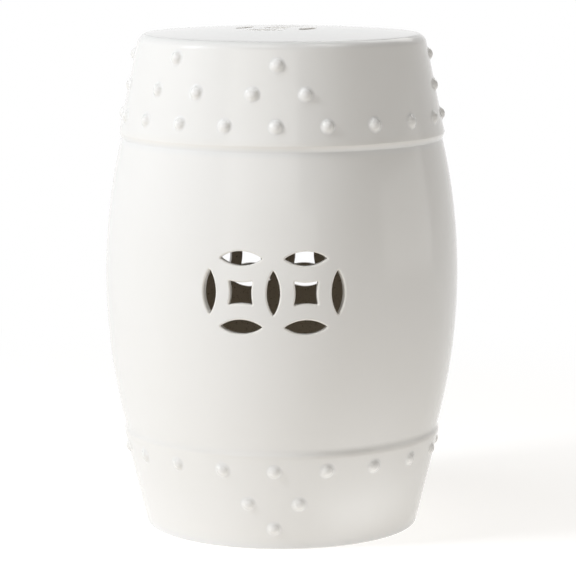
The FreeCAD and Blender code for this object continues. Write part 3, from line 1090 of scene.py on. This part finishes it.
@dataclass
class LowerBand:
    """Tapering collar between the barrel and the floor."""

    walls: Walls
    piece: Piece = Piece("glazed_lower_band", "lower_band")

    def build(self, finishes: dict[Finish, bpy.types.Material]) -> bpy.types.Object:
        """Turn the collar and dress it."""
        walls = self.walls
        shell = Shell()
        waist_step = walls.waist_radius - walls.joint_step
        tongue = walls.waist_height + walls.joint_depth
        shoulder = walls.shoulder_height
        outside = walls.between(0.0, walls.waist_height)
        hidden = [
            (outside[-1].across, walls.waist_height), (waist_step, walls.waist_height),
            (waist_step, tongue), (waist_step - walls.joint_step, tongue),
            (walls.lower_radius(shoulder) - walls.band_wall, shoulder),
            (walls.base_radius - walls.band_wall, 0.0), (outside[0].across, 0.0),
        ]
        runs = [(outside, Finish.GLAZE)] + [(run, Finish.CLAY) for run in sharp_runs(hidden)]
        sweep(shell, runs, walls.glaze_and_shade_at)
        return self.piece.dress(shell, finishes)


@dataclass
class FootRing:
    """Thick unglazed ring that the stool stands on."""

    walls: Walls
    piece: Piece = Piece("bare_foot_ring", "foot_ring", Finish.CLAY)
    inner_radius: float = 103.0
    height: float = 13.0
    bevel: float = 4.0
    edge_rounding: float = 1.2

    def build(self, finishes: dict[Finish, bpy.types.Material]) -> bpy.types.Object:
        """Turn the ring and dress it."""
        walls = self.walls
        shell = Shell()
        foot = walls.base_radius - walls.band_wall
        rounding = self.edge_rounding
        visible = walk(
            [
                Station(walls.lower_radius(self.height) - walls.band_wall, self.height),
                Station(self.inner_radius + self.bevel, self.height, rounding),
                Station(self.inner_radius, self.height - self.bevel, rounding),
                Station(self.inner_radius, 0.0, rounding),
                Station(foot, 0.0),
            ],
            walls.spacing,
        )
        wall = sharp_runs([(foot, 0.0), (visible[0].across, self.height)])
        sweep(shell, [(visible, Finish.CLAY), (wall[0], Finish.CLAY)], lambda step: EVEN_GLAZE)
        return self.piece.dress(shell, finishes)


# Bosses


@dataclass(frozen=True)
class BossForm:
    """Round boss pressed on before the glaze, which gathers in a fillet round its foot."""

    radius: float = 5.6
    rise: float = 3.7
    fillet: float = 4.0
    sunk: float = 0.7
    rounds: int = 36
    uneven: float = 0.03

    def section(self) -> list[Step]:
        """Half section from the outer edge of the fillet to the crown, on a level ground."""
        ball = bow_radius(self.radius, self.rise)
        depth = ball - self.rise
        reach = math.sqrt((ball + self.fillet) ** 2 - (depth + self.fillet) ** 2)
        lean = math.atan2(reach, depth + self.fillet)
        fillet_steps = 6
        ball_steps = 10
        steps = []
        for n in range(fillet_steps):
            angle = lean * n / fillet_steps
            across = reach - self.fillet * math.sin(angle)
            up = self.fillet * (1 - math.cos(angle))
            steps.append(Step(across, up, math.sin(angle), math.cos(angle)))
        for n in range(ball_steps + 1):
            angle = lean * (1 - n / ball_steps)
            steps.append(Step(
                ball * math.sin(angle), ball * math.cos(angle) - depth,
                math.sin(angle), math.cos(angle),
            ))
        return steps


@dataclass(frozen=True)
class Ground:
    """Leaning face of a band, which the bosses sit on."""

    radius_at: Callable[[float], float]
    lean: float

    def lift(self, angle: float, height: float, across: float, along: float, out: float) -> Point:
        """Point near a boss's middle, wrapped round the band.

        Args:
            angle: Angle of the boss.
            height: Height of the boss.
            across: Distance to the right of its middle.
            along: Distance up the band's face.
            out: Distance out from that face.
        """
        up = height + along * math.cos(self.lean)
        radius = self.radius_at(up)
        swing = angle + math.degrees(across / radius)
        return turned(
            radius + out * math.cos(self.lean), up + out * math.sin(self.lean), swing,
        )

    def normal(self, angle: float, side: float, slope: Flat) -> Point:
        """Normal that leans from the face's own towards a direction on it.

        Args:
            angle: Angle round the stool.
            side: Direction on the face, in radians from its right-hand side.
            slope: Share of the normal that lies along the face, and out of it.
        """
        level = Vector(turned(1.0, 0.0, angle))
        upright = Vector((0, 0, 1))
        right = upright.cross(level)
        out = level * math.cos(self.lean) + upright * math.sin(self.lean)
        climb = upright * math.cos(self.lean) - level * math.sin(self.lean)
        along = right * math.cos(side) + climb * math.sin(side)
        return tuple((along * slope[0] + out * slope[1]).normalized())


@dataclass
class BossGroup:
    """Bosses that share one node, as a row or a triangle."""

    piece: Piece
    ground: Ground
    places: tuple[Flat, ...]
    form: BossForm = BossForm()

    def add_boss(self, shell: Shell, angle: float, height: float, scale: float) -> None:
        """Add one boss, its back a little sunk in the band.

        Args:
            shell: Where the points and faces go.
            angle: Angle of the boss.
            height: Height of the boss.
            scale: Its size against the usual one.
        """
        section = self.form.section()
        rounds = self.form.rounds
        # The glaze deepens round the foot, and the darker colour there is painted shade in the
        # fillet.
        pooled_shade = 0.6
        shade_pool_height = self.form.rise / 2
        rings = []
        normals = []
        for step in section[:-1]:
            ring = []
            ring_normals = []
            foot_shade_share = max(0.0, 1.0 - step.up / shade_pool_height)
            glaze = EVEN_GLAZE + (pooled_shade - EVEN_GLAZE) * foot_shade_share
            for k in range(rounds):
                side = 2 * math.pi * k / rounds
                across = step.across * scale * math.cos(side)
                along = step.across * scale * math.sin(side)
                spot = self.ground.lift(angle, height, across, along, step.up * scale)
                swing = angle + math.degrees(across / self.ground.radius_at(height))
                slope = (step.normal_across, step.normal_up)
                ring.append(shell.add_point(spot, glaze))
                ring_normals.append(self.ground.normal(swing, side, slope))
            rings.append(ring)
            normals.append(ring_normals)
        for row in range(len(rings) - 1):
            for k in range(rounds):
                after = (k + 1) % rounds
                corners = [(row, k), (row, after), (row + 1, after), (row + 1, k)]
                shell.add_face(
                    [rings[r][s] for r, s in corners], [normals[r][s] for r, s in corners],
                    Finish.GLAZE,
                )
        out = self.ground.normal(angle, 0.0, (0.0, 1.0))
        crown = shell.add_point(self.ground.lift(angle, height, 0, 0, section[-1].up * scale))
        back = shell.add_point(self.ground.lift(angle, height, 0, 0, -self.form.sunk))
        inward = tuple(-value for value in out)
        for k in range(rounds):
            after = (k + 1) % rounds
            shell.add_face(
                [rings[-1][k], rings[-1][after], crown],
                [normals[-1][k], normals[-1][after], out], Finish.GLAZE,
            )
            shell.add_face([rings[0][after], rings[0][k], back], [inward] * 3, Finish.CLAY)

    def build(self, finishes: dict[Finish, bpy.types.Material]) -> bpy.types.Object:
        """Press every boss on, each a little different, and dress the group."""
        shell = Shell()
        hand = random.Random(self.piece.name)
        for angle, height in self.places:
            scale = 1.0 + hand.uniform(-self.form.uneven, self.form.uneven)
            self.add_boss(shell, angle, height, scale)
        return self.piece.dress(shell, finishes)


@dataclass
class BandBosses:
    """Full row and triangles of bosses on one band.

    A triangle is given by its turn, and by how far its single boss sits to the right, in
    degrees, and high, in millimetres.
    """

    band: str
    ground: Ground
    row_height: float
    row_turn: float
    pair_height: float
    tip_height: float
    row_count: int
    clusters: dict[str, tuple[float, float, float]]
    form: BossForm = BossForm()
    pair_angle: float = 9.6

    def groups(self) -> list[BossGroup]:
        """The row, then each triangle."""
        row_name = self.band + "_boss_row"
        step = 360.0 / self.row_count
        row = tuple((self.row_turn + step * n, self.row_height) for n in range(self.row_count))
        row_piece = Piece("glazed_" + row_name, row_name)
        found = [BossGroup(row_piece, self.ground, row, self.form)]
        for place, (turn, tip_shift, tip_lift) in self.clusters.items():
            name = self.band + "_cluster_" + place
            bosses = (
                (turn - self.pair_angle, self.pair_height),
                (turn + self.pair_angle, self.pair_height),
                (turn + tip_shift, self.tip_height + tip_lift),
            )
            piece = Piece("glazed_" + name, name)
            found.append(BossGroup(piece, self.ground, bosses, self.form))
        return found


# Finishes


def linear(colour: str) -> tuple[float, float, float, float]:
    """Linear colour of an sRGB hex value."""
    parts = []
    for start in (1, 3, 5):
        value = int(colour[start:start + 2], 16) / 255
        parts.append(value / 12.92 if value <= 0.04045 else ((value + 0.055) / 1.055) ** 2.4)
    return (*parts, 1.0)


def per_metre(size_mm: float) -> float:
    """Texture scale that gives details of a real size."""
    return 1.0 / (size_mm * MM)


def add_node(
    tree: bpy.types.NodeTree, kind: str, inputs: dict[str | int, object] | None = None,
    **settings: object,
) -> bpy.types.Node:
    """Add a node with its settings, values and links.

    Args:
        tree: Where it goes.
        kind: Its type.
        inputs: A value, or the socket that feeds it, for each input.
        settings: Its other properties.

    Returns:
        The new node.
    """
    node = tree.nodes.new(kind)
    for name, value in settings.items():
        setattr(node, name, value)
    for name, value in (inputs or {}).items():
        if isinstance(value, bpy.types.NodeSocket):
            tree.links.new(value, node.inputs[name])
        else:
            node.inputs[name].default_value = value
    return node


def new_material(name: str) -> tuple[bpy.types.Material, bpy.types.NodeTree]:
    """Empty node material."""
    material = bpy.data.materials.new(name)
    material.use_nodes = True
    material.node_tree.nodes.clear()
    return material, material.node_tree


@dataclass(frozen=True)
class WhiteGlaze:
    """Tin-white gloss glaze, dipped and fired over stoneware.

    The fired glass lies flat and shiny over a slightly uneven hand-cast wall, so reflections
    are clear but never quite straight. It gathers in creases and round the bosses' feet, where a
    darker, cooler colour is painted: partly the thicker glaze, partly painted shade. It draws
    thin over edges, where the warm clay shows through.
    """

    # Mesh attribute of glaze depth; its deep end also paints shade in creases.
    DEPTH = "glaze_depth"

    body: str = "#EDEAE5"
    drift: str = "#EAE7E1"
    thin: str = "#ECE7DE"
    # Darker, cooler colour of deep glaze, partly painted shade in creases and round the bosses'
    # feet.
    pooled_shade: str = "#E4E4E3"
    ior: float = 1.6
    roughness: float = 0.14
    drift_size: float = 70.0
    wave_size: float = 55.0
    wave_depth: float = 0.10
    peel_size: float = 7.0
    peel_depth: float = 0.004

    def build(self) -> bpy.types.Material:
        """Make the material."""
        material, tree = new_material("white_tin_glaze")
        place = add_node(tree, "ShaderNodeTexCoord").outputs["Object"]
        drift = add_node(
            tree, "ShaderNodeTexNoise",
            {"Vector": place, "Scale": per_metre(self.drift_size), "Detail": 3.0},
        )
        even = add_node(
            tree, "ShaderNodeMix",
            {
                MIX_SHARE: drift.outputs[0],
                MIX_FIRST: linear(self.body), MIX_SECOND: linear(self.drift),
            },
            data_type="RGBA",
        )
        depth = add_node(tree, "ShaderNodeAttribute", attribute_name=self.DEPTH)
        thinning = add_node(
            tree, "ShaderNodeMapRange",
            {"Value": depth.outputs["Fac"], "From Min": EVEN_GLAZE, "From Max": 0.0},
        )
        # Painted shade: the deep end of the glaze depth mixes in the darker, cooler colour.
        pooling_shade = add_node(
            tree, "ShaderNodeMapRange",
            {"Value": depth.outputs["Fac"], "From Min": EVEN_GLAZE, "From Max": 1.0},
        )
        thinned = add_node(
            tree, "ShaderNodeMix",
            {
                MIX_SHARE: thinning.outputs[0],
                MIX_FIRST: even.outputs[MIX_RESULT], MIX_SECOND: linear(self.thin),
            },
            data_type="RGBA",
        )
        colour = add_node(
            tree, "ShaderNodeMix",
            {
                MIX_SHARE: pooling_shade.outputs[0],
                MIX_FIRST: thinned.outputs[MIX_RESULT], MIX_SECOND: linear(self.pooled_shade),
            },
            data_type="RGBA",
        )
        wave = add_node(
            tree, "ShaderNodeTexNoise",
            {"Vector": place, "Scale": per_metre(self.wave_size), "Detail": 1.0},
        )
        peel = add_node(
            tree, "ShaderNodeTexNoise",
            {"Vector": place, "Scale": per_metre(self.peel_size), "Detail": 1.0},
        )
        waved = add_node(
            tree, "ShaderNodeBump",
            {"Height": wave.outputs[0], "Distance": self.wave_depth * MM, "Strength": 1.0},
        )
        peeled = add_node(
            tree, "ShaderNodeBump",
            {
                "Height": peel.outputs[0], "Distance": self.peel_depth * MM, "Strength": 1.0,
                "Normal": waved.outputs[0],
            },
        )
        glass = add_node(
            tree, "ShaderNodeBsdfPrincipled",
            {
                "Base Color": colour.outputs[MIX_RESULT], "Roughness": self.roughness,
                "IOR": self.ior,
                "Normal": peeled.outputs[0],
            },
        )
        add_node(tree, "ShaderNodeOutputMaterial", {"Surface": glass.outputs[0]})
        return material


@dataclass(frozen=True)
class BareStoneware:
    """Brown stoneware, cast and fired without glaze.

    It is dry and matt, freckled with darker grog, and takes no highlight at all.
    """

    body: str = "#BDB3A3"
    shade: str = "#ADA290"
    grog: str = "#82745F"
    ior: float = 1.5
    roughness: float = 0.92
    cloud_size: float = 30.0
    grog_size: float = 1.6
    grog_edge: float = 0.6
    grog_heart: float = 0.72
    grit_depth: float = 0.12

    def build(self) -> bpy.types.Material:
        """Make the material."""
        material, tree = new_material("bare_brown_stoneware")
        place = add_node(tree, "ShaderNodeTexCoord").outputs["Object"]
        cloud = add_node(
            tree, "ShaderNodeTexNoise",
            {"Vector": place, "Scale": per_metre(self.cloud_size), "Detail": 4.0},
        )
        ground = add_node(
            tree, "ShaderNodeMix",
            {
                MIX_SHARE: cloud.outputs[0],
                MIX_FIRST: linear(self.body), MIX_SECOND: linear(self.shade),
            },
            data_type="RGBA",
        )
        grit = add_node(
            tree, "ShaderNodeTexNoise",
            {"Vector": place, "Scale": per_metre(self.grog_size), "Detail": 2.0},
        )
        freckle = add_node(
            tree, "ShaderNodeMapRange",
            {"Value": grit.outputs[0], "From Min": self.grog_edge, "From Max": self.grog_heart},
        )
        colour = add_node(
            tree, "ShaderNodeMix",
            {
                MIX_SHARE: freckle.outputs[0],
                MIX_FIRST: ground.outputs[MIX_RESULT], MIX_SECOND: linear(self.grog),
            },
            data_type="RGBA",
        )
        rough = add_node(
            tree, "ShaderNodeBump",
            {"Height": grit.outputs[0], "Distance": self.grit_depth * MM, "Strength": 1.0},
        )
        clay = add_node(
            tree, "ShaderNodeBsdfPrincipled",
            {
                "Base Color": colour.outputs[MIX_RESULT], "Roughness": self.roughness,
                "IOR": self.ior,
                "Normal": rough.outputs[0],
            },
        )
        add_node(tree, "ShaderNodeOutputMaterial", {"Surface": clay.outputs[0]})
        return material


# Studio


@dataclass(frozen=True)
class Softbox:
    """Rectangular lamp that looks at the stool, given by what the stool sees of it.

    Its place and its two widths are angles from the stool's middle, its level is the
    brightness of its face, and mirrored says whether the glaze reflects it as a shape.
    Its distance is in metres.
    """

    name: str
    azimuth: float
    elevation: float
    wide: float
    tall: float
    level: float
    tint: str = WARM_WHITE
    mirrored: bool = True
    distance: float = 2.6

    def build(self, target: Vector) -> None:
        """Hang the lamp and turn it to the target.

        Args:
            target: What it looks at, in metres.
        """
        data = bpy.data.lights.new(self.name, "AREA")
        data.shape = "RECTANGLE"
        level_distance = self.distance * math.cos(math.radians(self.elevation))
        rise = self.distance * math.sin(math.radians(self.elevation))
        data.size = 2 * level_distance * math.tan(math.radians(self.wide / 2))
        data.size_y = 2 * self.distance * math.tan(math.radians(self.tall / 2))
        data.energy = self.level * math.pi * data.size * data.size_y
        data.color = linear(self.tint)[:3]
        lamp = bpy.data.objects.new(self.name, data)
        lamp.location = target + Vector(turned(level_distance, rise, self.azimuth))
        lamp.rotation_mode = "QUATERNION"
        lamp.rotation_quaternion = (target - lamp.location).to_track_quat("-Z", "Y")
        lamp.visible_camera = False
        lamp.visible_glossy = self.mirrored
        bpy.context.scene.collection.objects.link(lamp)


@dataclass
class Studio:
    """White sweep, soft lamps and the camera of the photograph, in metres.

    The floor glows a little, as a lit sweep does, and lights the stool from below.
    """

    floor_albedo: str = "#A8A8A8"
    floor_reach: float = 4.0
    floor_glow: float = 0.795
    floor_tint: str = WARM_WHITE
    fade_start: float = 0.45
    fade_end: float = 1.1
    camera_distance: float = 2.520
    camera_height: float = 0.6017
    focal_pixels: float = 2758.0
    frame_pixels: float = 576.0
    sensor: float = 36.0
    yaw: float = 0.131
    pitch: float = 8.682
    roll: float = 0.046
    softboxes: tuple[Softbox, ...] = (
        Softbox("left_key", -66.0, 32.0, 12.0, 16.0, 31.0, DAYLIGHT, False),
        Softbox("left_key_face", -79.0, 31.0, 16.0, 20.0, 2.6, DAYLIGHT),
        Softbox("top_left", -67.5, 68.0, 45.0, 20.0, 6.8, DAYLIGHT, False),
        Softbox("top_front", -22.5, 68.0, 45.0, 20.0, 1.3),
        Softbox("top_right", 67.5, 68.0, 45.0, 20.0, 2.3),
        Softbox("front_window", -8.0, 3.5, 60.0, 17.0, 0.65),
        Softbox("front_window_top", -14.0, 19.0, 50.0, 14.0, 0.88),
        Softbox("right_window", 89.5, 3.5, 45.0, 17.0, 0.53),
        Softbox("back_right", 155.0, 42.0, 50.0, 30.0, 1.25),
        Softbox("base_card", 38.0, -52.0, 50.0, 5.0, 0.7, DAYLIGHT, False, 0.27),
    )

    def add_world(self) -> None:
        """World that gives no light of its own, but looks white to a lens or a reflection."""
        world = bpy.data.worlds.new("white_studio")
        bpy.context.scene.world = world
        world.use_nodes = True
        tree = world.node_tree
        tree.nodes.clear()
        white = add_node(
            tree, "ShaderNodeBackground",
            {"Color": (1, 1, 1, 1), "Strength": self.seen_directly(tree)},
        )
        add_node(tree, "ShaderNodeOutputWorld", {"Surface": white.outputs[0]})

    def seen_directly(self, tree: bpy.types.NodeTree) -> bpy.types.NodeSocket:
        """Socket that is 1 for a camera, glossy or transmission ray."""
        path = add_node(tree, "ShaderNodeLightPath")
        either = add_node(
            tree, "ShaderNodeMath",
            {0: path.outputs["Is Camera Ray"], 1: path.outputs["Is Glossy Ray"]},
            operation="MAXIMUM",
        )
        seen = add_node(
            tree, "ShaderNodeMath",
            {0: either.outputs[0], 1: path.outputs["Is Transmission Ray"]}, operation="MAXIMUM",
        )
        return seen.outputs[0]

    def add_floor(self) -> None:
        """Pale floor that keeps the stool's shadow and turns plain white further out."""
        reach = self.floor_reach
        mesh = bpy.data.meshes.new("pale_floor")
        corners = [(-reach, -reach, 0), (reach, -reach, 0), (reach, reach, 0), (-reach, reach, 0)]
        mesh.from_pydata(corners, [], [(0, 1, 2, 3)])
        floor = bpy.data.objects.new("pale_floor", mesh)
        bpy.context.scene.collection.objects.link(floor)
        floor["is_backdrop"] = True
        material, tree = new_material("pale_floor_paint")
        seen = self.seen_directly(tree)
        place = add_node(tree, "ShaderNodeTexCoord").outputs["Object"]
        distance = add_node(tree, "ShaderNodeVectorMath", {0: place}, operation="LENGTH")
        far = add_node(
            tree, "ShaderNodeMapRange",
            {
                "Value": distance.outputs["Value"],
                "From Min": self.fade_start, "From Max": self.fade_end,
            },
            interpolation_type="SMOOTHSTEP",
        )
        plain = add_node(tree, "ShaderNodeMath", {0: far.outputs[0], 1: seen}, operation="MULTIPLY")
        paint = add_node(tree, "ShaderNodeBsdfDiffuse", {"Color": linear(self.floor_albedo)})
        glow = add_node(
            tree, "ShaderNodeEmission",
            {"Color": linear(self.floor_tint), "Strength": self.floor_glow},
        )
        lit = add_node(tree, "ShaderNodeAddShader", {0: paint.outputs[0], 1: glow.outputs[0]})
        white = add_node(tree, "ShaderNodeEmission", {"Strength": 1.0})
        sweep_shader = add_node(
            tree, "ShaderNodeMixShader",
            {0: plain.outputs[0], 1: lit.outputs[0], 2: white.outputs[0]},
        )
        clear = add_node(tree, "ShaderNodeBsdfTransparent")
        back = add_node(tree, "ShaderNodeNewGeometry").outputs["Backfacing"]
        one_sided = add_node(
            tree, "ShaderNodeMixShader",
            {0: back, 1: sweep_shader.outputs[0], 2: clear.outputs[0]},
        )
        add_node(tree, "ShaderNodeOutputMaterial", {"Surface": one_sided.outputs[0]})
        mesh.materials.append(material)

    def add_camera(self) -> None:
        """Camera that stands where the photograph was taken from."""
        data = bpy.data.cameras.new("photo_camera")
        data.sensor_width = self.sensor
        data.lens = self.focal_pixels / self.frame_pixels * self.sensor
        camera = bpy.data.objects.new("photo_camera", data)
        yaw, pitch, roll = (math.radians(a) for a in (self.yaw, self.pitch, self.roll))
        ahead = Vector((
            math.sin(yaw) * math.cos(pitch), math.cos(yaw) * math.cos(pitch), -math.sin(pitch),
        ))
        level = Vector((math.cos(yaw), -math.sin(yaw), 0))
        upright = level.cross(ahead)
        right = level * math.cos(roll) + upright * math.sin(roll)
        above = upright * math.cos(roll) - level * math.sin(roll)
        turn = Matrix((right, above, -ahead)).transposed()
        camera.matrix_world = Matrix.Translation(
            (0.0, -self.camera_distance, self.camera_height)
        ) @ turn.to_4x4()
        bpy.context.scene.collection.objects.link(camera)
        bpy.context.scene.camera = camera

    def build(self) -> None:
        """Set up the whole studio."""
        bpy.context.scene.view_settings.view_transform = "Standard"
        low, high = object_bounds()
        self.add_camera()
        self.add_world()
        self.add_floor()
        for softbox in self.softboxes:
            softbox.build((low + high) / 2)


def main() -> None:
    """Build the stool piece by piece, then the studio round it."""
    logging.basicConfig(level=logging.INFO, format="%(message)s")
    finishes = {Finish.GLAZE: WhiteGlaze().build(), Finish.CLAY: BareStoneware().build()}
    walls = Walls()
    for part in (Seat(walls), UpperBand(walls), Barrel(walls), LowerBand(walls), FootRing(walls)):
        part.build(finishes)
    upper = BandBosses(
        "upper", Ground(walls.upper_radius, math.atan(walls.upper_lean)),
        row_height=379.5, row_turn=-2.0, pair_height=407.0, tip_height=433.5, row_count=20,
        clusters={
            "front": (-1.0, -0.7, -1.5), "front_left": (318.0, -1.8, 2.4),
            "left": (270.0, 0.0, 0.0), "back": (180.0, 0.0, 0.0),
            "back_right": (138.0, 0.0, 0.0), "right": (90.0, 0.0, 0.0),
        },
    )
    lower = BandBosses(
        "lower", Ground(walls.lower_radius, -math.atan(walls.lower_lean)),
        row_height=74.3, row_turn=-2.6, pair_height=43.3, tip_height=19.9, row_count=19,
        clusters={"front": (-3.0, 0.0, 0.0), "back": (177.0, 0.0, 0.0)},
        form=BossForm(rise=3.1, fillet=4.6),
    )
    for group in upper.groups() + lower.groups():
        group.build(finishes)
    Studio().build()


if __name__ == "__main__":
    main()
